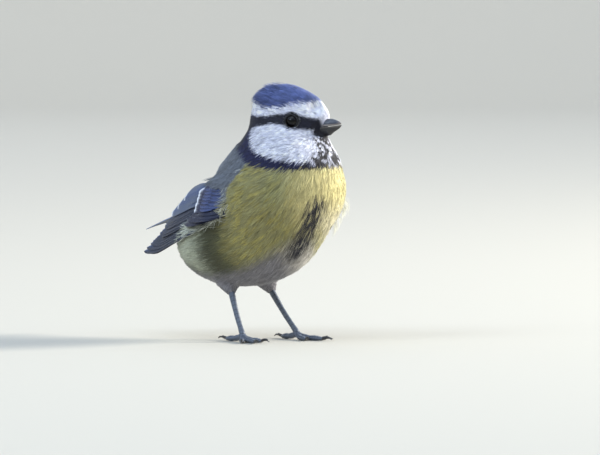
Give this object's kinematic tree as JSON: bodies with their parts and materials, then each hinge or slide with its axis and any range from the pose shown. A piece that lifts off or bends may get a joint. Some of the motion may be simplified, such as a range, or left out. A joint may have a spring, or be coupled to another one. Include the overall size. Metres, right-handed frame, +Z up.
{
  "type": "bird figure",
  "caption": "Life-size blue tit, a still model: it stands on both feet with fluffed plumage, wings a little drooped and its head turned to its left",
  "frame": {"origin": "middle of the bird's bounding box, on the floor it stands on", "axes": "+X the way the breast faces, +Y the bird's left, +Z up"},
  "size_m": [0.092, 0.0456, 0.0832],
  "materials": {
    "head_plumage": "matte",
    "collar_plumage": "matte",
    "body_plumage": "matte",
    "wing_feathers": "satin",
    "tail_feathers": "satin",
    "eye": "gloss",
    "bill": "satin",
    "leg_scales": "satin",
    "claw": "satin"
  },
  "bodies": {
    "root": {"head": "head_plumage", "neck": "collar_plumage", "torso": "body_plumage", "thigh_left": "body_plumage", "thigh_right": "body_plumage", "wing_left": "wing_feathers", "wing_right": "wing_feathers", "tail": "tail_feathers", "eye_left": "eye", "eye_right": "eye", "bill_upper": "bill", "bill_lower": "bill", "shank_left": "leg_scales", "shank_right": "leg_scales", "foot_left": "leg_scales", "foot_right": "leg_scales", "claw_left_hind": "claw", "claw_left_inner": "claw", "claw_left_middle": "claw", "claw_left_outer": "claw", "claw_right_hind": "claw", "claw_right_inner": "claw", "claw_right_middle": "claw", "claw_right_outer": "claw"}
  },
  "joints": []
}
